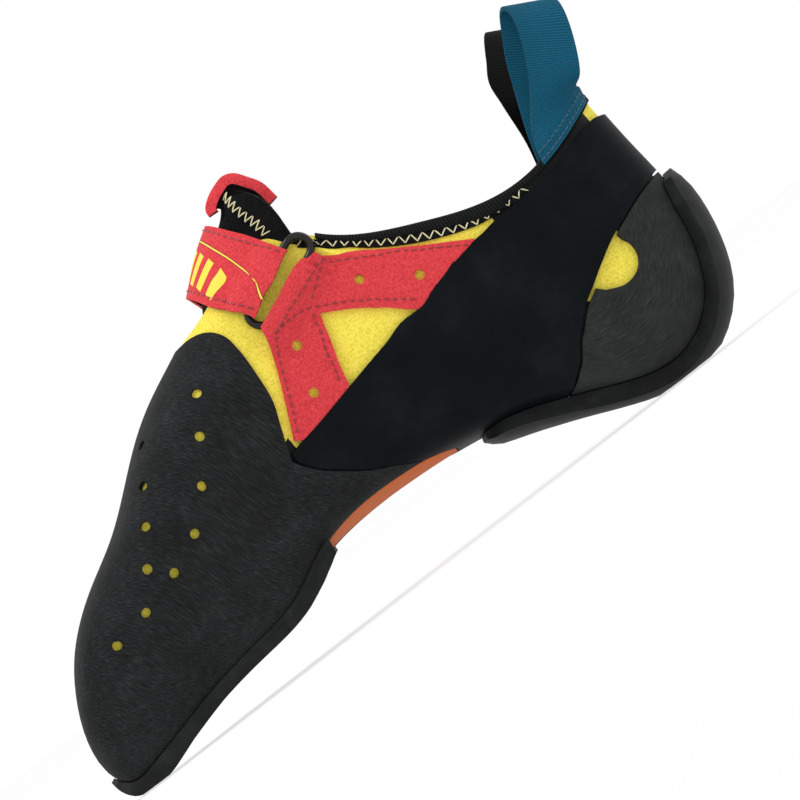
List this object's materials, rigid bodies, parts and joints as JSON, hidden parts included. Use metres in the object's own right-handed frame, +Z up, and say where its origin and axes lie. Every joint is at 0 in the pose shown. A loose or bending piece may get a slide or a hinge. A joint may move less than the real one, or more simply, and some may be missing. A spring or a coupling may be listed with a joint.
{
  "type": "climbing shoe",
  "caption": "Downturned climbing shoe with a rubber toe patch, rand and heel cup, one strap through a ring, a stretch tongue and webbing pull loops.",
  "frame": {"origin": "middle of the flat spot that the heel stands on, on the floor", "axes": "+Z up, the toe towards -X, the heel's back towards +X, the inner (medial) side towards -Y"},
  "size_m": [0.2379, 0.0825, 0.1266],
  "materials": {
    "yellow_microsuede": "yellow microsuede with a short nap, lined",
    "red_microsuede": "red microsuede with a short nap, stitched along its edges",
    "smooth_rubber": "smooth bluish black rubber, satin",
    "buffed_rubber": "buffed black rubber, matt with fine lines",
    "sole_rubber": "moulded black rubber, matt with cut edges",
    "orange_board": "orange board, matt",
    "grey_lining": "grey lining cloth",
    "black_elastic": "ribbed black elastic",
    "black_knit": "black stretch knit",
    "black_nylon": "glossy black",
    "blue_webbing": "woven teal-blue webbing"
  },
  "bodies": {
    "root": {"upper": "yellow_microsuede", "toe_patch": "buffed_rubber", "slingshot_rand": "smooth_rubber", "heel_cup": "buffed_rubber", "midsole": "orange_board", "insole": "grey_lining", "outsole_front": "sole_rubber", "outsole_heel": "sole_rubber", "yoke_medial": "red_microsuede", "yoke_lateral": "red_microsuede", "strap_ring": "black_nylon", "strap": "red_microsuede", "collar_binding": "black_elastic", "tongue": "black_knit", "tongue_tab": "red_microsuede", "pull_loop_medial": "blue_webbing", "pull_loop_lateral": "black_elastic"}
  },
  "joints": []
}
